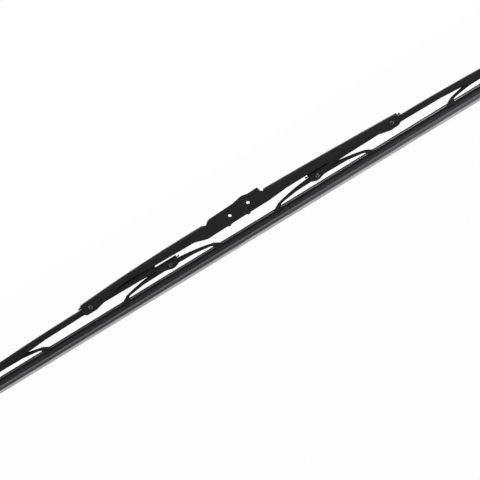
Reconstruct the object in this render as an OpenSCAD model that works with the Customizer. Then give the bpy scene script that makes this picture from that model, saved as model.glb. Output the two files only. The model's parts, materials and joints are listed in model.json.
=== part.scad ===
// Wiper blade: a bridge, two yokes and four claw yokes hold a rubber strip on the glass.
// X runs along the blade, Y across it and Z away from the glass. The origin is the middle of the
// lip's edge, where the blade meets the glass.

/* [Rubber strip] */
// How far the strip stands out past the outer claws
rubber_out = 7.3; // [5:0.1:15]
// Width of the strip's head, which the claws wrap
head_w = 6; // [5.4:0.1:7]
// Width of the wiping lip
lip_w = 0.9; // [0.6:0.1:1.4]
// Height of the wiping lip
lip_h = 2.1; // [1.6:0.1:2.6]
// Height of the flank from the lip to its widest line
flank_h = 2.6; // [2:0.1:3.2]
// Widest width of the flank
flank_w = 4.5; // [3.8:0.1:5]
// Height of the flank's straight side
side_h = 0.6; // [0.4:0.1:1]
// Height of the slope from the side to the hinge
shoulder_h = 0.7; // [0.5:0.1:1]
// Height of the thin hinge
hinge_h = 0.7; // [0.5:0.1:1]
// Width of the thin hinge
hinge_w = 1.2; // [0.9:0.1:1.6]
// Height of the body above the hinge
body_h = 2.3; // [1.8:0.1:2.8]
// Width of the body above the hinge
body_w = 5.2; // [4.6:0.1:5.6]
// Height of the groove that takes the claws' lips
groove_h = 1.1; // [1:0.1:1.5]
// Width of the neck left in the groove
neck_w = 2.4; // [1.8:0.1:2.8]
// Thickness of the rail between the groove and the strips
rail_h = 0.5; // [0.4:0.1:0.8]
// Thickness of the cap above the strips
cap_h = 0.5; // [0.4:0.05:0.8]

/* [Steel strips in the rubber] */
// Thickness of a strip
strip_t = 0.75; // [0.6:0.05:0.9]
// Width of a strip
strip_w = 2.2; // [1.8:0.1:2.3]
// How far a strip ends short of the rubber
strip_end = 1; // [0.5:0.5:3]

/* [Claw yokes] */
// Thickness of the claw yokes' steel
claw_wall = 0.75; // [0.6:0.05:0.85]
// Inside radius of their bends
claw_bend = 0.6; // [0.4:0.1:0.8]
// Play between the rubber's head and the claw walls
head_play = 0.3; // [0.2:0.05:0.5]
// Pivot above the floor of the rubber's groove
claw_rise = 8.5; // [8:0.1:9.5]
// Top of the yoke above its pivot
claw_crown = 2.25; // [2.25:0.05:2.6]
// Fall of the yoke's top from its pivot to its claws
claw_fall = 5.6; // [5.2:0.1:6]
// Pivot to the end of the short arm
short_arm = 45.5; // [42:0.5:48]
// Pivot to the end of the long arm
long_arm = 51.2; // [48:0.2:54]
// Length of a claw along the rubber
claw_l = 6; // [4.5:0.5:7.5]
// Thickness of a claw's lip
lip_t = 0.75; // [0.5:0.05:0.85]
// Reach of a claw's lip into the groove
lip_reach = 1.5; // [1:0.1:1.7]
// Depth of the claw yoke's wall below its pivot
claw_depth = 2.2; // [2:0.1:2.6]

/* [Secondary yokes] */
// Thickness of the secondary yokes' steel
yoke_wall = 0.9; // [0.8:0.05:1.2]
// Inside radius of their bends
yoke_bend = 0.7; // [0.5:0.1:0.9]
// Middle of the blade to the inner claw yokes' pivots
inner_pivot_x = 70.4; // [68:0.2:74]
// Middle of the blade to the outer claw yokes' pivots
outer_pivot_x = 241.5; // [238:0.5:246]
// Bridge pivot above the claw yokes' pivots
yoke_rise = 5; // [4.7:0.1:5.5]
// Top of the outer arm above the bridge pivot
yoke_crown = 1.8; // [1.6:0.1:2.1]
// Top of the inner arm above the bridge pivot
inner_arm_top = 2.1; // [1.8:0.1:2.4]
// Top of the inner head above its claw pivot
inner_head_top = 4.6; // [4.4:0.1:4.8]
// Claw pivot to the arm side of the inner head
inner_head_l = 12.2; // [10:0.2:14]
// Claw pivot to the end of each head
head_end = 7.1; // [6:0.1:8]
// Depth of the lobe below a claw pivot
yoke_lobe = 3.3; // [3:0.1:3.6]
// Ear around the bridge pivot
ear_r = 3; // [2.8:0.1:3.1]
// Half length of the slot in the web at the bridge pivot
yoke_slot = 7; // [6:0.5:9]

/* [Bridge] */
// Thickness of the bridge's steel
bridge_wall = 1.1; // [0.9:0.05:1.15]
// Inside radius of its bends
bridge_bend = 0.9; // [0.6:0.1:1.1]
// Middle of the blade to the bridge's end pivots
bridge_pivot_x = 144.5; // [142:0.5:147]
// End pivot to the bridge's end
bridge_end = 7.4; // [6.4:0.1:8]
// Depth of the wall below the end pivots
bridge_lobe = 4.5; // [4:0.1:5]
// Top of the bridge at its middle, above the end pivots
bridge_top = 8.7; // [8.2:0.1:9.5]
// How much higher the left end's top is than the right end's
left_end_lift = 0.4; // [0:0.1:1]
// Bow of the left arm's top edge
left_bow = 1.15; // [0.8:0.05:1.6]
// Bow of the right arm's top edge
right_bow = 0.3; // [0.15:0.05:0.8]
// Lower edge of the middle, below the end pivots
skirt_drop = 1.9; // [1.5:0.1:2.2]
// Left end of the opening in the web
window_left = 31; // [29:0.5:34]
// Right end of the opening in the web
window_right = 26; // [25:0.5:29]

/* [Holes for the arm's adapter] */
// Radius of each hole
arm_hole_r = 1.6; // [1.3:0.05:2.2]
// Distance between the two holes
arm_hole_pitch = 18.4; // [16:0.1:20]
// Slope of the line through the holes, in degrees
arm_hole_tilt = 4.4; // [0:0.2:8]
// Middle of the two holes along the blade
arm_hole_x = 1.25; // [-3:0.25:4]
// Middle of the two holes above the end pivots
arm_hole_rise = 4.8; // [3.8:0.1:5.4]

/* [Pivots] */
// Radius of the bridge rivets' shanks
bridge_shank_r = 1.25; // [1:0.05:1.4]
// Radius of the claw rivets' shanks
claw_shank_r = 0.95; // [0.7:0.05:1]
// Radius of the rivets' heads
rivet_head_r = 2.1; // [1.8:0.05:2.3]
// Height of the rivets' heads
rivet_head_h = 0.65; // [0.5:0.05:0.8]
// Radius of the stubs that the secondary yokes turn on
bridge_stub_r = 2; // [1.8:0.05:2.1]
// Radius of the stubs that the claw yokes turn on
claw_stub_r = 1.42; // [1.3:0.01:1.43]
// Cheek of a bridge bush
bridge_cheek = 1; // [0.95:0.05:1.4]
// Cheek of a claw bush
claw_cheek = 0.6; // [0.5:0.05:0.8]
// Thickness of a bush's tongue
tongue_t = 0.45; // [0.3:0.05:0.5]
// How far a bush's tongue stands out of the channel's end
tongue_out = 2.6; // [2:0.1:3]

/* [Fits] */
// Running clearance of a yoke on its bush stubs, on the radius
turn_fit = 0.05; // [0.03:0.01:0.09]
// Clearance of a rivet in its holes, on the radius
rivet_fit = 0.03; // [0.02:0.01:0.05]
// Side gap between a turning wall and a bush's cheek
side_gap = 0.1; // [0.05:0.05:0.2]
// Gap above and below a steel strip in its slot
slot_gap = 0.03; // [0.02:0.01:0.05]
// Room above a claw yoke for its swing
swing_gap = 0.4; // [0.35:0.05:0.6]
// Gap between a bush's tongue and the web above it
seat_gap = 0.05; // [0.03:0.01:0.1]
// How much rounder a bush's upper corners are than the bend that they lie in
bend_room = 0.4; // [0.3:0.1:0.6]

/* [Hidden] */

LEFT = -1;
RIGHT = 1;
round_fn = 48;
sweep_step = 4;
corner_steps = 5;
paint = "#26272a";
nylon = "#17181a";
over = 1;
inset = 0.04;

// Heights up the rubber's section
flank_z = lip_h + flank_h;
side_z = flank_z + side_h;
hinge_z = side_z + shoulder_h;
body_z = hinge_z + hinge_h;
groove_z = body_z + body_h;
rail_z = groove_z + groove_h;
slot_z = rail_z + rail_h;
slot_h = strip_t + 2 * slot_gap;
cap_z = slot_z + slot_h;
rubber_top = cap_z + cap_h;

// Heights of the pivots
claw_z = groove_z + claw_rise;
bridge_z = claw_z + yoke_rise;

// Half widths of the channels, each nested in the next
claw_in = head_w / 2 + head_play;
claw_out = claw_in + claw_wall;
yoke_in = claw_out + side_gap + claw_cheek;
yoke_out = yoke_in + yoke_wall;
bridge_in = yoke_out + side_gap + bridge_cheek;
bridge_out = bridge_in + bridge_wall;

// Tops of the claw bushes and of the outer head above them
claw_tongue_z = claw_z + claw_crown + swing_gap;
outer_head_z = claw_tongue_z + tongue_t + seat_gap + yoke_wall;
inner_head_z = claw_z + inner_head_top;

// Tops of the bridge's ends above their pivots, which leave room for the bushes
right_end_top = ear_r + side_gap + tongue_t + seat_gap + bridge_wall;
left_end_top = right_end_top + left_end_lift;

// Length of the rubber
rubber_l = 2 * (outer_pivot_x + long_arm + rubber_out);

// Pivots of the claw yokes, counted outwards from the bridge pivot
inner_u = inner_pivot_x - bridge_pivot_x;
outer_u = outer_pivot_x - bridge_pivot_x;

// A point moved along a line, and the arc that rounds one corner of an outline
function toward(a, b) = (b - a) / norm(b - a);
function flat2(p) = [p.x, p.y];
function near_angle(a, b) = b - 360 * round((b - a) / 360);
function corner(a, b, c) =
    let (p = flat2(b), u = toward(p, flat2(a)), v = toward(p, flat2(c)))
    let (half = acos(u * v) / 2, middle = p + (u + v) / norm(u + v) * b[2] / sin(half))
    let (from = p + u * b[2] / tan(half) - middle, to = p + v * b[2] / tan(half) - middle)
    let (a0 = atan2(from.y, from.x), a1 = near_angle(a0, atan2(to.y, to.x)))
    [for (i = [0 : corner_steps]) let (t = a0 + (a1 - a0) * i / corner_steps)
        middle + b[2] * [cos(t), sin(t)]];
// A closed outline from corners given as [x, z, radius]
function rounded(c) = [for (i = [0 : len(c) - 1])
    each c[i][2] > 0 ? corner(c[(i + len(c) - 1) % len(c)], c[i], c[(i + 1) % len(c)]) : [flat2(c[i])]];
// The same corners moved, and mirrored about the middle
function shifted(c, d) = [for (p = c) [p[0] + d[0], p[1] + d[1], p[2]]];
function mirrored(c) = [for (i = [len(c) - 1 : -1 : 0]) [-c[i][0], c[i][1], c[i][2]]];
// Centre and radius of an arc through two points with a given bow, as [x, z, radius]
function bowed(p, q, bow) =
    let (chord = norm(q - p), r = (chord * chord / 4 + bow * bow) / (2 * bow))
    let (across = [q.y - p.y, p.x - q.x] / chord, middle = (p + q) / 2 + across * (r - bow))
    [middle.x, middle.y, r];
// The same for an arc that is level at its top and falls by h over a length u
function crowned(x, top, u, h) = let (r = (u * u + h * h) / (2 * h)) [x, top - r, r];

// A section's solid bar with rounded upper corners, its top on the Y axis
module bar_section(half, depth, r) {
    translate([-depth, -half]) square([depth - r, 2 * half]);
    translate([-r - depth / 4, r - half]) square([r + depth / 4, 2 * (half - r)]);
    for (side = [-1, 1]) translate([-r, side * (half - r)]) circle(r = r, $fn = round_fn);
}

// An open channel's section with bent corners
module channel_section(half, wall, depth, bend) {
    difference() {
        bar_section(half, depth, bend + wall);
        translate([-wall, 0]) bar_section(half - wall, depth, bend);
    }
}

// A section swept along an arc, from one X to another
module sweep(arc, x0, x1) {
    a0 = acos((x0 - arc[0]) / arc[2]);
    a1 = acos((x1 - arc[0]) / arc[2]);
    translate([arc[0], 0, arc[1]]) rotate([90, 0, 0]) rotate([0, 0, a1])
        rotate_extrude(angle = a0 - a1, $fn = ceil(2 * PI * arc[2] / sweep_step)) translate([arc[2], 0]) children();
}

// A section drawn straight, from one X to another
module run(x0, x1, top) {
    translate([x1, 0, top]) rotate([0, -90, 0]) linear_extrude(x1 - x0) children();
}

// A side outline through a width, and the same in the two walls only
module through(width) {
    rotate([90, 0, 0]) linear_extrude(width, center = true) children();
}
module walls(inner, outer) {
    for (side = [-1, 1]) translate([0, side * (inner + outer) / 2, 0]) through(outer - inner) children();
}

// A round bar across the blade
module cross_bar(x, z, r, half) {
    translate([x, 0, z]) rotate([90, 0, 0]) cylinder(r = r, h = 2 * half, center = true, $fn = round_fn);
}

// Left or right half of the blade, and either way round at a pivot
module at(x, way) {
    translate([x, 0, 0]) mirror([way < 0 ? 1 : 0, 0, 0]) children();
}

// Bridge: its side outline, with the two raised walls of the arm's seat
function bridge_lower() = shifted([
    [-bridge_pivot_x - bridge_end, -bridge_lobe * 0.72, 1],
    [-bridge_pivot_x - bridge_end * 0.75, -bridge_lobe, 1.5],
    [3.6 - bridge_pivot_x, -bridge_lobe, 3],
    [10.5 - bridge_pivot_x, -bridge_lobe * 0.6, 6],
    [20 - bridge_pivot_x, 0.6, 8],
    [-110, 2.7, 25],
    [-82, 1.5, 20],
    [-44, 0.7, 8],
    [-33, -skirt_drop - 0.7, 4],
    [-13.9, -skirt_drop - 0.3, 0.3],
    [-12.5, -skirt_drop - 1.1, 0.4],
    [-11.2, -skirt_drop - 1.1, 0.4],
    [-9.8, -skirt_drop - 0.2, 0.3],
    [4.6, 0.1 - skirt_drop, 0.3],
    [6, -skirt_drop - 0.9, 0.4],
    [7.3, -skirt_drop - 0.9, 0.4],
    [8.7, 0.1 - skirt_drop, 0.3],
    [window_right, 0.2 - skirt_drop, 8],
    [44, -0.25, 10],
    [84, -0.2, 20],
    [104, 0.5, 20],
    [bridge_pivot_x - 21, 0.3, 8],
    [bridge_pivot_x - 12, -bridge_lobe * 0.66, 6],
    [bridge_pivot_x - 3.6, -bridge_lobe - 0.3, 2.5],
    [bridge_pivot_x + 4, -bridge_lobe, 2],
    [bridge_pivot_x + bridge_end, -bridge_lobe * 0.6, 1]
], [0, bridge_z]);
function bridge_upper() = shifted([
    [bridge_pivot_x + bridge_end, bridge_top + over, 0],
    [window_right + 1, bridge_top + over, 0],
    [window_right + 1, bridge_top - 0.2, 0.6],
    [window_right - 0.3, bridge_top - 1.7, 0.6],
    [window_right - 2.2, bridge_top - 0.4, 0.8],
    [window_right - 2.9, bridge_top + 3.3, 1.2],
    [13.5, bridge_top + 3, 4],
    [7.9, bridge_top + 4.1, 2.5],
    [3, bridge_top + 3.2, 6],
    [-1, bridge_top + 2.4, 6],
    [5.5 - window_left, bridge_top + 1.5, 4],
    [3.6 - window_left, bridge_top, 2],
    [1.5 - window_left, bridge_top - 1.7, 1],
    [-window_left - 1.5, bridge_top - 0.1, 0.8],
    [-window_left - 1.5, bridge_top + over, 0],
    [-bridge_pivot_x - bridge_end, bridge_top + over, 0]
], [0, bridge_z]);

module bridge_section() {
    channel_section(bridge_out, bridge_wall, 2 * bridge_top, bridge_bend);
}

module primary_bridge() {
    left_arc = bowed([-bridge_pivot_x - bridge_end, bridge_z + left_end_top],
        [-window_left, bridge_z + bridge_top], left_bow);
    right_arc = bowed([window_right, bridge_z + bridge_top],
        [bridge_pivot_x + bridge_end, bridge_z + right_end_top], right_bow);
    color(paint) difference() {
        intersection() {
            union() {
                sweep(left_arc, -bridge_pivot_x - bridge_end - over, -window_left) bridge_section();
                sweep(right_arc, window_right, bridge_pivot_x + bridge_end + over) bridge_section();
                walls(bridge_in + inset, bridge_out - inset)
                    translate([-window_left - over, bridge_z - bridge_top])
                    square([window_left + window_right + 2 * over, 3 * bridge_top]);
            }
            through(3 * bridge_out) polygon(rounded(concat(bridge_lower(), bridge_upper())));
        }
        for (side = [LEFT, RIGHT]) {
            cross_bar(side * bridge_pivot_x, bridge_z, bridge_shank_r + rivet_fit, 2 * bridge_out);
            cross_bar(arm_hole_x + side * arm_hole_pitch / 2 * cos(arm_hole_tilt),
                bridge_z + arm_hole_rise + side * arm_hole_pitch / 2 * sin(arm_hole_tilt),
                arm_hole_r, 2 * bridge_out);
        }
    }
}

// Secondary yoke: drawn with its outer arm towards +X and the bridge pivot at X = 0
head_lobe = [
    [-head_end, -yoke_lobe * 0.58, 2],
    [-2.4, -yoke_lobe - 0.2, 5],
    [0.2, -yoke_lobe - 0.1, 5],
    [6, -yoke_lobe * 0.52, 3]
];
function yoke_outline() = [
    [inner_u - head_end, bridge_z + ear_r + over, 0],
    each shifted(head_lobe, [inner_u, claw_z]),
    [inner_u + 13.5, bridge_z - ear_r - 0.8, 4],
    [inner_u + 28, bridge_z - ear_r, 15],
    [-13, bridge_z - ear_r + 0.4, 4],
    [-2.6, bridge_z - ear_r - 0.3, 2],
    [2.6, bridge_z - ear_r - 0.3, 2],
    [11, bridge_z - ear_r - 0.1, 4],
    [45, bridge_z - ear_r - 0.6, 40],
    [outer_u - 33, bridge_z - ear_r - 1.9, 20],
    each shifted(mirrored(head_lobe), [outer_u, claw_z]),
    [outer_u + head_end, bridge_z + ear_r + over, 0]
];

module yoke_section() {
    channel_section(yoke_out, yoke_wall, 4 * yoke_rise, yoke_bend);
}

module secondary_yoke() {
    end_u = outer_u + head_end;
    step_x = inner_u + inner_head_l;
    crown = bridge_z + yoke_crown;
    arm_top = bridge_z + inner_arm_top;
    color(paint) difference() {
        intersection() {
            union() {
                sweep(crowned(0, crown, end_u, crown - outer_head_z), yoke_slot, end_u + over) yoke_section();
                run(step_x, -yoke_slot, arm_top) yoke_section();
                run(inner_u - head_end - over, step_x + yoke_wall, inner_head_z) yoke_section();
                translate([step_x, -yoke_in - yoke_wall / 2, inner_head_z - yoke_wall])
                    cube([yoke_wall, 2 * yoke_in + yoke_wall, arm_top - inner_head_z]);
                walls(yoke_in + inset, yoke_out - inset) pivot_ear();
            }
            through(3 * yoke_out) polygon(rounded(yoke_outline()));
        }
        cross_bar(0, bridge_z, bridge_stub_r + turn_fit, 2 * yoke_out);
        for (u = [inner_u, outer_u]) cross_bar(u, claw_z, claw_shank_r + rivet_fit, 2 * yoke_out);
    }
}

// The wall round the bridge pivot, where the web is slotted for the bush
module pivot_ear() {
    translate([-yoke_slot - over, bridge_z - 2 * ear_r])
        square([2 * (yoke_slot + over), 2 * ear_r + yoke_crown - 0.1]);
}

// Claw yoke: drawn with its long arm towards +X and its pivot at X = 0
function claw_lower(end) = [
    [7, claw_z - claw_depth + 0.35, 4],
    [end - 24, claw_z - claw_depth, 12],
    [end - 10, claw_z - claw_depth - 1.8, 6],
    [end - claw_l - 1.8, claw_z - claw_depth - 2.6, 0.8],
    [end - claw_l - 0.6, lip_z, 0.4],
    [end - 0.8, lip_z, 0.4],
    [end, rail_z + 0.8, 0.4],
    [end - 6.4, claw_z + claw_crown - claw_fall + 0.45, 2],
    [end - 6.6, claw_z + claw_crown + over, 0]
];
lip_z = rail_z - 0.05 - lip_t;
claw_outline = concat(
    [[-2.4, claw_z - claw_depth, 2], [2.4, claw_z - claw_depth, 2]],
    claw_lower(long_arm),
    mirrored(claw_lower(short_arm))
);

module claw_section() {
    channel_section(claw_out, claw_wall, 2 * claw_rise, claw_bend);
}

module claw_yoke() {
    crown = claw_z + claw_crown;
    middle = (long_arm - short_arm) / 2;
    web_l = (long_arm + short_arm) / 2 - 4.6;
    ends = [[long_arm, RIGHT], [short_arm, LEFT]];
    color(paint) difference() {
        union() {
            intersection() {
                union() {
                    sweep(crowned(middle, crown, web_l, claw_fall), 4 - short_arm, long_arm - 4)
                        claw_section();
                    for (e = ends) at(0, e[1]) walls(claw_in, claw_out)
                        translate([e[0] - claw_l - 4, lip_z - over])
                        square([claw_l + 4 + over, crown - claw_fall - lip_z + over + 0.4]);
                }
                through(3 * claw_out) polygon(rounded(claw_outline));
            }
            for (e = ends, side = [-1, 1]) at(0, e[1]) claw_lip(e[0], side);
        }
        cross_bar(0, claw_z, claw_stub_r + turn_fit, 2 * claw_out);
    }
}

// The bent lip of a claw, which lies in the rubber's groove
module claw_lip(end, side) {
    mirror([0, side < 0 ? 1 : 0, 0])
        translate([end - claw_l + 0.1, claw_in - lip_reach, lip_z])
        cube([claw_l - 1.6, lip_reach + claw_wall / 2, lip_t]);
}

// Bushes: two cheeks with stubs that a yoke turns on, joined by a tongue under the carrier's web.
// Their upper corners are rounded to lie in the web's bends.
module bush(pivot_z, cheek_r, inner, outer, bend, stub_r, stub_in, bore, tongue_outline) {
    top = max([for (p = tongue_outline) p[1]]);
    reach = max([for (p = tongue_outline) p[0]]);
    color(nylon) difference() {
        intersection() {
            union() {
                walls(inner, outer) {
                    translate([0, pivot_z]) circle(r = cheek_r, $fn = round_fn);
                    translate([-cheek_r, pivot_z])
                        square([2 * cheek_r, tongue_outline[0][1] + tongue_t / 2 - pivot_z]);
                }
                for (side = [-1, 1])
                    translate([0, side * (stub_in + inner) / 2, pivot_z]) rotate([90, 0, 0])
                    cylinder(r = stub_r, h = inner - stub_in + 0.2, center = true, $fn = round_fn);
                through(2 * outer) polygon(rounded(tongue_outline));
            }
            run(-cheek_r - over, reach + over, top)
                bar_section(outer, top - pivot_z + cheek_r + over, bend + bend_room);
        }
        cross_bar(0, pivot_z, bore, 2 * outer);
    }
}

module bridge_bush() {
    low = bridge_z + ear_r + side_gap;
    end = bridge_end;
    nose = bridge_end + tongue_out;
    cheek_r = bridge_lobe - 0.8;
    bush(bridge_z, cheek_r, yoke_out + side_gap, bridge_in, bridge_bend, bridge_stub_r,
        yoke_in, bridge_shank_r + rivet_fit, [
            [-cheek_r, low, 0],
            [ear_r + 0.9, low, 0.5],
            [yoke_slot, low - 0.6, 0.5],
            [nose, low - 0.6, 0.2],
            [nose, low + 0.55, 0.15],
            [nose - 0.4, low + 0.55, 0.2],
            [end + 0.2, low - 0.2, 0.3],
            [end - 1, low - 0.15, 0.5],
            [ear_r + 1.3, low + tongue_t, 0.5],
            [-cheek_r, low + tongue_t, 0.2]
        ]);
}

module claw_bush(head_z) {
    top = head_z - yoke_wall - seat_gap;
    nose = head_end + tongue_out;
    bush(claw_z, claw_depth + 0.4, claw_out + side_gap, yoke_in, yoke_bend, claw_stub_r,
        claw_in, claw_shank_r + rivet_fit, [
            [-claw_depth - 0.4, claw_tongue_z, 0],
            [nose, claw_tongue_z, 0.15],
            [nose, claw_tongue_z + 0.9, 0.15],
            [nose - 0.4, claw_tongue_z + 0.9, 0.2],
            [head_end + 0.2, claw_tongue_z + 0.35, 0.2],
            [head_end - 0.6, claw_tongue_z + 0.35, 0.2],
            [3.6, top, 0.4],
            [-claw_depth - 0.4, top, 0.15]
        ]);
}

// Rivets: a shank across the channel, with a rolled head that is dished at its centre
function rivet_half(shank_r, grip) = [
    [shank_r, 0, 0],
    [shank_r, grip, 0],
    [rivet_head_r, grip, 0],
    [rivet_head_r, grip + rivet_head_h * 0.4, 0.15],
    [rivet_head_r * 0.72, grip + rivet_head_h, 0.3],
    [rivet_head_r * 0.5, grip + rivet_head_h, 0.15],
    [rivet_head_r * 0.25, grip + rivet_head_h * 0.45, 0.2],
    [0, grip + rivet_head_h * 0.4, 0]
];
module rivet(z, shank_r, grip) {
    color(paint) translate([0, 0, z]) rotate([90, 0, 0]) for (end = [0, 1]) mirror([0, 0, end])
        rotate_extrude($fn = round_fn) polygon(rounded(concat([[0, 0, 0]], rivet_half(shank_r, grip))));
}

// Rubber: half of its section from the lip up, mirrored about the middle plane
rubber_half = [
    [lip_w / 2, 0, 0.1],
    [lip_w / 2, lip_h, 0],
    [flank_w / 2, flank_z, 0.3],
    [flank_w / 2, side_z, 0.3],
    [hinge_w / 2, hinge_z, 0.2],
    [hinge_w / 2, body_z, 0.2],
    [body_w / 2, body_z, 0.3],
    [body_w / 2, groove_z, 0.2],
    [neck_w / 2, groove_z, 0],
    [neck_w / 2, rail_z, 0],
    [head_w / 2, rail_z, 0.15],
    [head_w / 2, slot_z, 0],
    [head_w / 2 - strip_w, slot_z, 0],
    [head_w / 2 - strip_w, cap_z, 0],
    [head_w / 2, cap_z, 0],
    [head_w / 2, rubber_top, 0.3]
];

// A section drawn across the blade, run along X about the middle
module along(length) {
    rotate([90, 0, 90]) linear_extrude(length, center = true) children();
}

module wiper_rubber() {
    color("#2b2b2d") along(rubber_l) polygon(rounded(concat(rubber_half, mirrored(rubber_half))));
}

module flexor_strip(side) {
    color("#8d9094") along(rubber_l - 2 * strip_end)
        translate([side > 0 ? head_w / 2 - strip_w + slot_gap : -head_w / 2, slot_z + slot_gap])
        square([strip_w - slot_gap, strip_t]);
}

primary_bridge();
at(-bridge_pivot_x, LEFT) secondary_yoke();  // secondary_yoke_left
at(bridge_pivot_x, RIGHT) secondary_yoke();  // secondary_yoke_right
at(-outer_pivot_x, RIGHT) claw_yoke();  // claw_yoke_outer_left
at(-inner_pivot_x, LEFT) claw_yoke();  // claw_yoke_inner_left
at(inner_pivot_x, RIGHT) claw_yoke();  // claw_yoke_inner_right
at(outer_pivot_x, LEFT) claw_yoke();  // claw_yoke_outer_right
at(-bridge_pivot_x, LEFT) bridge_bush();  // bridge_bush_left
at(bridge_pivot_x, RIGHT) bridge_bush();  // bridge_bush_right
at(-outer_pivot_x, LEFT) claw_bush(outer_head_z);  // claw_bush_outer_left
at(-inner_pivot_x, RIGHT) claw_bush(inner_head_z);  // claw_bush_inner_left
at(inner_pivot_x, LEFT) claw_bush(inner_head_z);  // claw_bush_inner_right
at(outer_pivot_x, RIGHT) claw_bush(outer_head_z);  // claw_bush_outer_right
at(-bridge_pivot_x, LEFT) rivet(bridge_z, bridge_shank_r, bridge_out);  // bridge_rivet_left
at(bridge_pivot_x, RIGHT) rivet(bridge_z, bridge_shank_r, bridge_out);  // bridge_rivet_right
at(-outer_pivot_x, LEFT) rivet(claw_z, claw_shank_r, yoke_out);  // claw_rivet_outer_left
at(-inner_pivot_x, LEFT) rivet(claw_z, claw_shank_r, yoke_out);  // claw_rivet_inner_left
at(inner_pivot_x, RIGHT) rivet(claw_z, claw_shank_r, yoke_out);  // claw_rivet_inner_right
at(outer_pivot_x, RIGHT) rivet(claw_z, claw_shank_r, yoke_out);  // claw_rivet_outer_right
wiper_rubber();
flexor_strip(-1);  // flexor_strip_front
flexor_strip(1);  // flexor_strip_back
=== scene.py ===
"""Looks of the wiper blade: finishes, flexing rubber and steel strips, light and camera."""

import json
import math

import bpy
from mathutils import Matrix, Vector

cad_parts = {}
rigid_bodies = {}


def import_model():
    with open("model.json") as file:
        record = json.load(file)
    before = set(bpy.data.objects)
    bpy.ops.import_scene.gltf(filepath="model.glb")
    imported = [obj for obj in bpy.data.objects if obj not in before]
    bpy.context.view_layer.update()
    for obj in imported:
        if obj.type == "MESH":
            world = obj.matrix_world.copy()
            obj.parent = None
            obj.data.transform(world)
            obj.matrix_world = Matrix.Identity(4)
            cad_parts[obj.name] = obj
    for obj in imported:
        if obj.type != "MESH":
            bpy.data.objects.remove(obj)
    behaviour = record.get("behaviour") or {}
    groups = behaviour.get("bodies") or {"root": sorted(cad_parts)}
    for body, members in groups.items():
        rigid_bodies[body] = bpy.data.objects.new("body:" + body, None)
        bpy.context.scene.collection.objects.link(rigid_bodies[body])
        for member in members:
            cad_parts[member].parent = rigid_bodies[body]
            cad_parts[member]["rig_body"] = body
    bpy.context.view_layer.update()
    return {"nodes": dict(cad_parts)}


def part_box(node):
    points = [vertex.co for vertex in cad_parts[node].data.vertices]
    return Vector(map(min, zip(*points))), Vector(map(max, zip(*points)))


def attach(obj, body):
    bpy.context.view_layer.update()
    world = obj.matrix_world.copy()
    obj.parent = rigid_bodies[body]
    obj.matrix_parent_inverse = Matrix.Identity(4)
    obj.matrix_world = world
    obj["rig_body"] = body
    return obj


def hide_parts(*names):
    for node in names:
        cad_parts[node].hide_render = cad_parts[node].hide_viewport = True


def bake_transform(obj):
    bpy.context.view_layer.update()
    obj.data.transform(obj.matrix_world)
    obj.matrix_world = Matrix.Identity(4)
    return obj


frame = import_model()
nodes = frame["nodes"]

MM = 0.001
SIDES = ("left", "right")

# Camera: a little above the blade, which rises to the right and is wider than the picture
PHOTO_WIDTH = 394.6 * MM
LOOK_AT = Vector((-11.3, 0, 5.1)) * MM
BLADE_RISE = math.radians(31.5)
CAMERA_HEIGHT = math.radians(4.3)
LENS = 180
SENSOR = 36

# Copies of CAD meshes: points that are merged, and the turn below which faces are joined
SAME_POINT = 0.002 * MM
SAME_POINT_SHARE = 0.3  # of the rounding, on pieces whose edges are rounded
SAME_PLANE = math.radians(0.04)

# Rounded edges: width on steel and nylon, width on rivets, and the turn from which they are cut
EDGE_ROUNDING = 0.1 * MM
RIVET_ROUNDING = 0.03 * MM
SHARP_EDGE = math.radians(32)

# Faces that turn less than this shade as one
SMOOTH_BELOW = math.radians(30)

# Worn edges: the cosine between true and rounded normal where wear is full, and where it starts
FULL_WEAR, NO_WEAR = 0.86, 0.995

# Rubber and strips: where their spans are held or divided, from the middle of the blade
OUTER_CLAW_FROM = 190 * MM
YOKE_HOLD = 156 * MM
INNER_CLAW_FROM = 122 * MM
INNER_SPLIT = 72 * MM
INNER_CLAW_TO = 24.8 * MM
MIDDLE_HOLD = 17 * MM
BEND_CUTS = 20  # across each bend

# Floor, in metres below the lip's edge and from side to side
FLOOR_DROP = 140 * MM
FLOOR_SIZE = 12

# Lamps: name, place and size in metres, and power in watts
LAMPS = (
    ("top_light", (0.1, -0.8, 1.4), (1.6, 1.0), 5),
    ("low_right_light", (0.8, -0.75, -0.3), (0.4, 0.4), 4.5),
    ("right_light", (0.36, -1.6, -0.09), (0.36, 0.3), 3.4),
)

# Tones up the rubber's side, partly its own grey and partly painted light: height in millimetres
# and grey
RUBBER_TONES_AND_PAINTED_LIGHT = (
    # Pale lip, darker at its edge, 0.8 mm up and at its top: partly a pale coat, partly painted
    # reflection of the floor
    (0.0, 0.4),
    (0.25, 0.56),
    (0.6, 0.56),
    (0.8, 0.42),
    (1.0, 0.56),
    (1.6, 0.55),
    (1.9, 0.42),
    # Flank: its coat, lightened by painted reflection of the floor
    (2.3, 0.1),
    (2.7, 0.057),
    (3.5, 0.055),
    # Painted highlight on the shoulder, up to 5.9 mm
    (4.2, 0.092),
    (4.7, 0.155),
    (5.3, 0.15),
    (5.9, 0.085),
    # Painted shade, darkening towards the neck
    (6.7, 0.026),
    (7.6, 0.012),
    (12.1, 0.009),
)


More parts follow.
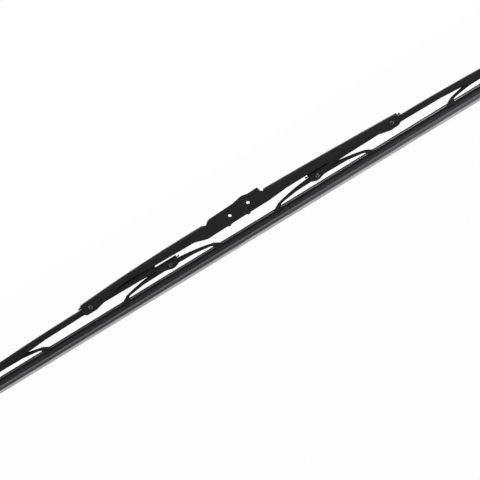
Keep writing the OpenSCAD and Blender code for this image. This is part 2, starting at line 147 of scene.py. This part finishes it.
class ShaderTree:
    """The node tree of a material or of the world."""

    def __init__(self, owner):
        owner.use_nodes = True
        self.tree = owner.node_tree
        self.tree.nodes.clear()

    def add(self, kind, settings=None, sockets=None):
        """Adds a node: its settings first, then the values or links of its sockets."""
        node = self.tree.nodes.new("ShaderNode" + kind)
        for name, value in (settings or {}).items():
            if name == "stops":
                self.set_stops(node.color_ramp, value)
            else:
                setattr(node, name, value)
        for name, value in (sockets or {}).items():
            if isinstance(value, Amount):
                self.tree.links.new(value.socket, node.inputs[name])
            else:
                node.inputs[name].default_value = value
        return Amount(self, node.outputs[0] if node.outputs else None, node)

    @staticmethod
    def set_stops(ramp, stops):
        """Gives a colour ramp these places and colours alone."""
        while len(ramp.elements) > 1:
            ramp.elements.remove(ramp.elements[-1])
        for i, (place, colour) in enumerate(stops):
            stop = ramp.elements[0] if i == 0 else ramp.elements.new(place)
            stop.position, stop.color = place, colour

    def mixed(self, share, first, second):
        """The first colour where share is 0, and the second where it is 1."""
        node = self.add("Mix", {"data_type": "RGBA"}, {0: share, 6: first, 7: second})
        return node.of(2)

    def noise(self, place, size, detail=2.0, stretch=(1, 1, 1)):
        """Soft noise whose spots are about as large as size."""
        if stretch != (1, 1, 1):
            place = self.add("Mapping", sockets={"Vector": place, "Scale": stretch})
        return self.add("TexNoise", sockets={"Vector": place, "Scale": 1 / size, "Detail": detail})

    def bump(self, height, strength, distance, normal=None):
        """A normal that follows height, on top of another normal if one is given."""
        sockets = {"Height": height, "Strength": strength, "Distance": distance}
        if normal:
            sockets["Normal"] = normal
        return self.add("Bump", sockets=sockets)


class Amount:
    """What a socket gives. Arithmetic on it adds Math nodes."""

    def __init__(self, shader, socket, node=None):
        self.shader, self.socket, self.node = shader, socket, node

    def of(self, output):
        """Another output of the same node."""
        return Amount(self.shader, self.node.outputs[output], self.node)

    def maths(self, operation, *values):
        """A Math node on these values."""
        return self.shader.add("Math", {"operation": operation}, dict(enumerate(values)))

    def __add__(self, other):
        return self.maths("ADD", self, other)

    def __sub__(self, other):
        return self.maths("SUBTRACT", self, other)

    def __rsub__(self, other):
        return self.maths("SUBTRACT", other, self)

    def __mul__(self, other):
        return self.maths("MULTIPLY", self, other)

    __radd__, __rmul__ = __add__, __mul__

    def size(self):
        """The amount without its sign."""
        return self.maths("ABSOLUTE", self)

    def ramp(self, low, high):
        """0 below low and 1 above high, with a smooth rise between them."""
        return self.shader.add(
            "MapRange",
            {"interpolation_type": "SMOOTHSTEP"},
            {"Value": self, "From Min": low, "From Max": high},
        )


def grey(level, warmth=0.0):
    """A grey of that level, a little warmer or cooler."""
    return (level * (1 + warmth), level, level * (1 - warmth), 1)


def graphite(level):
    """A grey with the slight blue of graphite where it is dark, for the rubber's tones and its
    painted light.
    """
    return (level, level * 0.995, level * (1.075 - 0.075 * level), 1)


def new_finish(name):
    """A new material and its node tree."""
    material = bpy.data.materials.new(name)
    return material, ShaderTree(material)


def finish_surface(shader, **sockets):
    """Adds the surface shader and the output that it feeds. An underscore stands for a space."""
    names = {key.replace("_", " "): value for key, value in sockets.items()}
    surface = shader.add("BsdfPrincipled", sockets=names)
    shader.add("OutputMaterial", sockets={"Surface": surface})


def worn_edge(shader, radius):
    """Rounded normals at the edges, and how much of an edge each point is."""
    rounded = shader.add("Bevel", {"samples": 6}, {"Radius": radius})
    true_normal = shader.add("NewGeometry").of("Normal")
    agree = shader.add("VectorMath", {"operation": "DOT_PRODUCT"}, {0: rounded, 1: true_normal})
    return rounded, 1 - agree.of("Value").ramp(FULL_WEAR, NO_WEAR)


def satin_paint():
    """Near-black satin powder coat, with its fine peel and slightly rubbed edges."""
    material, shader = new_finish("satin_black_paint")
    place = shader.add("TexCoord").of("Object")
    rounded, edge = worn_edge(shader, 0.22 * MM)
    cloud = shader.noise(place, 9 * MM, 3.0)
    grain = shader.noise(place, 0.5 * MM)
    rub = edge * shader.noise(place, 2.5 * MM, 3.0).ramp(0.35, 0.7)
    speckle = shader.noise(place, 1.1 * MM)
    share = cloud.ramp(0.3, 0.7) * 0.45 + speckle.ramp(0.36, 0.64) * 0.55
    colour = shader.mixed(share, grey(0.003), grey(0.0084, -0.04))
    colour = shader.mixed(rub * 0.8, colour, grey(0.035))
    finish_surface(
        shader,
        Base_Color=colour,
        Roughness=0.4 + 0.14 * cloud + 0.06 * grain,
        Specular_IOR_Level=0.17,
        Normal=shader.bump(grain, 0.18, 0.05 * MM, rounded),
    )
    return material


def bush_nylon():
    """Moulded black nylon, duller than the paint."""
    material, shader = new_finish("moulded_nylon")
    place = shader.add("TexCoord").of("Object")
    rounded, edge = worn_edge(shader, 0.2 * MM)
    grain = shader.noise(place, 0.3 * MM, 3.0)
    colour = shader.mixed(edge * 0.5, grey(0.008), grey(0.02))
    finish_surface(
        shader,
        Base_Color=colour,
        Roughness=0.5 + 0.15 * grain,
        Specular_IOR_Level=0.2,
        Normal=shader.bump(grain, 0.25, 0.04 * MM, rounded),
    )
    return material


def rivet_finish(name, crest):
    """Blackened steel. Its rolled rim, at crest from the blade's middle plane, is rubbed bright."""
    material, shader = new_finish(name)
    place = shader.add("TexCoord").of("Object")
    across = shader.add("SeparateXYZ", sockets={"Vector": place}).of("Y").size()
    rim = across.ramp(crest - 0.32 * MM, crest - 0.03 * MM)
    scuff = shader.noise(place, 1.6 * MM, 3.0)
    bright = rim * scuff.ramp(0.42, 0.62)
    rounded, _ = worn_edge(shader, 0.12 * MM)
    finish_surface(
        shader,
        Base_Color=shader.mixed(bright, grey(0.008), grey(0.17)),
        Metallic=bright * 0.9,
        Roughness=0.42 - 0.14 * bright,
        Specular_IOR_Level=0.2,
        Normal=shader.bump(scuff, 0.2, 0.05 * MM, rounded),
    )
    return material


def wiper_rubber_finish():
    """Black rubber: its pale lip and flank are partly coat and partly painted reflection, with a
    painted highlight and shade up its side, and painted light on the flank that grows to the right.
    """
    material, shader = new_finish("graphite_rubber")
    place = shader.add("Attribute", {"attribute_name": "at_rest"}).of("Vector")
    split = shader.add("SeparateXYZ", sockets={"Vector": place})
    along, height = split.of("X"), split.of("Z")
    streak = shader.noise(place, 1.2 * MM, 4.0, stretch=(0.06, 1, 1))
    grain = shader.noise(place, 0.25 * MM)
    top = RUBBER_TONES_AND_PAINTED_LIGHT[-1][0]
    stops = [(z / top, graphite(tone)) for z, tone in RUBBER_TONES_AND_PAINTED_LIGHT]
    level = height * (1 / (top * MM)) + (streak - 0.5) * 0.02
    tone = shader.add("ValToRGB", {"stops": stops}, {"Fac": level})
    flank = height.ramp(1.9 * MM, 2.3 * MM) * (1 - height.ramp(5 * MM, 8 * MM))
    # Painted light: the flank is made lighter towards the right, as lamps at the right would light
    # it
    painted_light_from_right = along.ramp(-20 * MM, 190 * MM) * flank
    colour = shader.mixed(painted_light_from_right * 0.4, tone, graphite(0.19))
    colour = shader.mixed(streak.ramp(0.35, 0.75) * 0.25, colour, grey(0.02))
    finish_surface(
        shader,
        Base_Color=colour,
        Roughness=0.5 + 0.2 * streak,
        Specular_IOR_Level=0.22,
        Normal=shader.bump(grain + streak, 0.2, 0.05 * MM),
    )
    return material


def strip_steel_finish():
    """Rolled spring steel, drawn along its length."""
    material, shader = new_finish("rolled_spring_steel")
    place = shader.add("Attribute", {"attribute_name": "at_rest"}).of("Vector")
    drawn = shader.noise(place, 0.35 * MM, 4.0, stretch=(0.02, 1, 1))
    cloud = shader.noise(place, 20 * MM)
    finish_surface(
        shader,
        Base_Color=shader.mixed(cloud.ramp(0.3, 0.7), grey(0.068), grey(0.105, 0.02)),
        Metallic=1.0,
        Roughness=0.22 + 0.12 * drawn,
        Normal=shader.bump(drawn, 0.2, 0.03 * MM),
    )
    return material


def select_only(piece):
    bpy.ops.object.select_all(action="DESELECT")
    bpy.context.view_layer.objects.active = piece
    piece.select_set(True)


def merged_copy(node, name, closeness):
    """A copy of a CAD node's mesh, with points within closeness merged and flat faces joined."""
    piece = bpy.data.objects.new(name, nodes[node].data.copy())
    bpy.context.scene.collection.objects.link(piece)
    select_only(piece)
    bpy.ops.object.mode_set(mode="EDIT")
    bpy.ops.mesh.select_all(action="SELECT")
    bpy.ops.mesh.remove_doubles(threshold=closeness)
    bpy.ops.mesh.dissolve_limited(angle_limit=SAME_PLANE)
    bpy.ops.object.mode_set(mode="OBJECT")
    return piece


def dress(piece, material):
    """Gives a piece its finish."""
    piece.data.materials.clear()
    piece.data.materials.append(material)


def shade_smooth(piece):
    """Smooth shading over the small roundings, with the large faces kept flat."""
    bpy.ops.object.shade_smooth_by_angle(angle=SMOOTH_BELOW)
    shading = piece.modifiers.new("shading", "WEIGHTED_NORMAL")
    shading.keep_sharp = True
    bpy.ops.object.modifier_apply(modifier="shading")


def pressed_piece(node, material, rounding=EDGE_ROUNDING):
    """A CAD node's shape with its cut edges rounded, in place of the node."""
    piece = merged_copy(node, node + "_finished", SAME_POINT_SHARE * rounding)
    edges = piece.modifiers.new("edges", "BEVEL")
    edges.width, edges.segments = rounding, 2
    edges.limit_method, edges.angle_limit = "ANGLE", SHARP_EDGE
    bpy.ops.object.modifier_apply(modifier="edges")
    shade_smooth(piece)
    dress(piece, material)
    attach(piece, nodes[node]["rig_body"])
    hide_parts(node)


def cut_off(at, keep_right):
    """Cuts the piece in edit mode across the blade and keeps one side, closed."""
    bpy.ops.mesh.select_all(action="SELECT")
    bpy.ops.mesh.bisect(
        plane_co=(at, 0, 0),
        plane_no=(1, 0, 0),
        use_fill=True,
        clear_inner=keep_right,
        clear_outer=not keep_right,
    )


def add_bend_cuts(first, last):
    """Adds even cuts across the piece in edit mode, from first to last, where it bends."""
    for i in range(BEND_CUTS):
        at = first + (last - first) * i / (BEND_CUTS - 1)
        bpy.ops.mesh.select_all(action="SELECT")
        bpy.ops.mesh.bisect(plane_co=(at, 0, 0), plane_no=(1, 0, 0))


def keep_rest_place(piece):
    """Stores where each point lies at rest, for patterns that bend with the piece."""
    places = piece.data.attributes.new("at_rest", "FLOAT_VECTOR", "POINT")
    for point, vertex in zip(places.data, piece.data.vertices):
        point.vector = vertex.co


def flexing_spans(side):
    """Spans of one half of the blade: from, to, bodies, and where the change between them lies."""
    yoke, inner, outer = side + "_yoke", "inner_" + side + "_claws", "outer_" + side + "_claws"
    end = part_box("wiper_rubber")[1].x
    return (
        ("outer", end, YOKE_HOLD, (outer, yoke), (OUTER_CLAW_FROM, YOKE_HOLD)),
        ("yoke", YOKE_HOLD, INNER_SPLIT, (yoke, inner), (YOKE_HOLD, INNER_CLAW_FROM)),
        ("inner", INNER_SPLIT, MIDDLE_HOLD, (inner, yoke), (INNER_CLAW_TO, MIDDLE_HOLD)),
        ("middle", MIDDLE_HOLD, 0, (yoke, "bridge"), (MIDDLE_HOLD, 0)),
    )


def flexing_piece(node, material):
    """A long soft or springy node, cut into spans, each with even cuts across it where it would
    bend.
    """
    whole = merged_copy(node, node + "_whole", SAME_POINT)
    for side, way in zip(SIDES, (-1, 1)):
        for part, far, near, bodies, (start, end) in flexing_spans(side):
            span = bpy.data.objects.new(f"{node}_{side}_{part}", whole.data.copy())
            bpy.context.scene.collection.objects.link(span)
            select_only(span)
            bpy.ops.object.mode_set(mode="EDIT")
            low, high = sorted((way * far, way * near))
            if part != "outer" or way > 0:
                cut_off(low, keep_right=True)
            if part != "outer" or way < 0:
                cut_off(high, keep_right=False)
            add_bend_cuts(way * start, way * end)
            bpy.ops.object.mode_set(mode="OBJECT")
            shade_smooth(span)
            dress(span, material)
            keep_rest_place(span)
            way * start
            way * end
            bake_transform(span)
            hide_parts(node)
    bpy.data.objects.remove(whole)


def make_object():
    """Every piece of the blade, in place of its CAD node."""
    paint, nylon = satin_paint(), bush_nylon()
    bridge_rivets = rivet_finish("bridge_rivet_black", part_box("bridge_rivet_left")[1].y)
    claw_rivets = rivet_finish("claw_rivet_black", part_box("claw_rivet_inner_left")[1].y)
    pressed_piece("primary_bridge", paint)
    for side in SIDES:
        pressed_piece("secondary_yoke_" + side, paint)
        pressed_piece("bridge_bush_" + side, nylon)
        pressed_piece("bridge_rivet_" + side, bridge_rivets, RIVET_ROUNDING)
        for place in ("outer", "inner"):
            pressed_piece(f"claw_yoke_{place}_{side}", paint)
            pressed_piece(f"claw_bush_{place}_{side}", nylon)
            pressed_piece(f"claw_rivet_{place}_{side}", claw_rivets, RIVET_ROUNDING)
    flexing_piece("wiper_rubber", wiper_rubber_finish())
    for strip in ("flexor_strip_front", "flexor_strip_back"):
        flexing_piece(strip, strip_steel_finish())


def make_camera():
    """A long lens a little above the blade, which rises across the picture."""
    lens = bpy.data.cameras.new("camera")
    lens.lens, lens.sensor_width = LENS, SENSOR
    camera = bpy.data.objects.new("camera", lens)
    bpy.context.scene.collection.objects.link(camera)
    right = Vector((math.cos(BLADE_RISE), 0, -math.sin(BLADE_RISE)))
    across = Vector((0, 1, 0))
    forward = across * math.cos(CAMERA_HEIGHT) - right.cross(across) * math.sin(CAMERA_HEIGHT)
    up = right.cross(forward)
    axes = Matrix((right, up, -forward)).transposed().to_4x4()
    distance = PHOTO_WIDTH * LENS / SENSOR
    camera.matrix_world = Matrix.Translation(LOOK_AT - forward * distance) @ axes
    lens.clip_start, lens.clip_end = 0.01, 100
    bpy.context.scene.camera = camera


def area_light(name, place, size, power):
    """A soft lamp that faces the middle of the blade."""
    light = bpy.data.lights.new(name, "AREA")
    light.shape, light.size, light.size_y, light.energy = "RECTANGLE", *size, power
    lamp = bpy.data.objects.new(name, light)
    bpy.context.scene.collection.objects.link(lamp)
    lamp.location = place
    lamp.rotation_euler = (-Vector(place)).to_track_quat("-Z", "Y").to_euler()


def seen_white(shader):
    """1 for rays that look at the background, straight or in a reflection."""
    ray = shader.add("LightPath")
    seen = ray.of("Is Camera Ray")
    for kind in ("Is Glossy Ray", "Is Transmission Ray"):
        seen = seen.maths("MAXIMUM", seen, ray.of(kind))
    return seen


def make_studio():
    """A white floor and surround, and soft light from above and from the right."""
    world = bpy.data.worlds.new("surround")
    bpy.context.scene.world = world
    shader = ShaderTree(world)
    room = shader.add("Background", sockets={"Color": grey(0.75), "Strength": 0.9})
    white = shader.add("Background", sockets={"Color": grey(1.0), "Strength": 1.0})
    mix = shader.add("MixShader", sockets={0: seen_white(shader), 1: room, 2: white})
    shader.add("OutputWorld", sockets={"Surface": mix})

    bpy.ops.object.select_all(action="DESELECT")
    bpy.ops.mesh.primitive_plane_add(size=FLOOR_SIZE, location=(0, 0, -FLOOR_DROP))
    floor = bpy.context.active_object
    floor.name = "floor"
    material, shader = new_finish("pale_floor")
    matt = shader.add("BsdfDiffuse", sockets={"Color": grey(0.85)})
    white = shader.add("Emission", sockets={"Color": grey(1.0), "Strength": 1.0})
    mix = shader.add("MixShader", sockets={0: seen_white(shader) * 0.97, 1: matt, 2: white})
    shader.add("OutputMaterial", sockets={"Surface": mix})
    floor.data.materials.append(material)

    for lamp in LAMPS:
        area_light(*lamp)


bpy.context.scene.view_settings.view_transform = "Standard"
make_camera()
make_studio()
make_object()
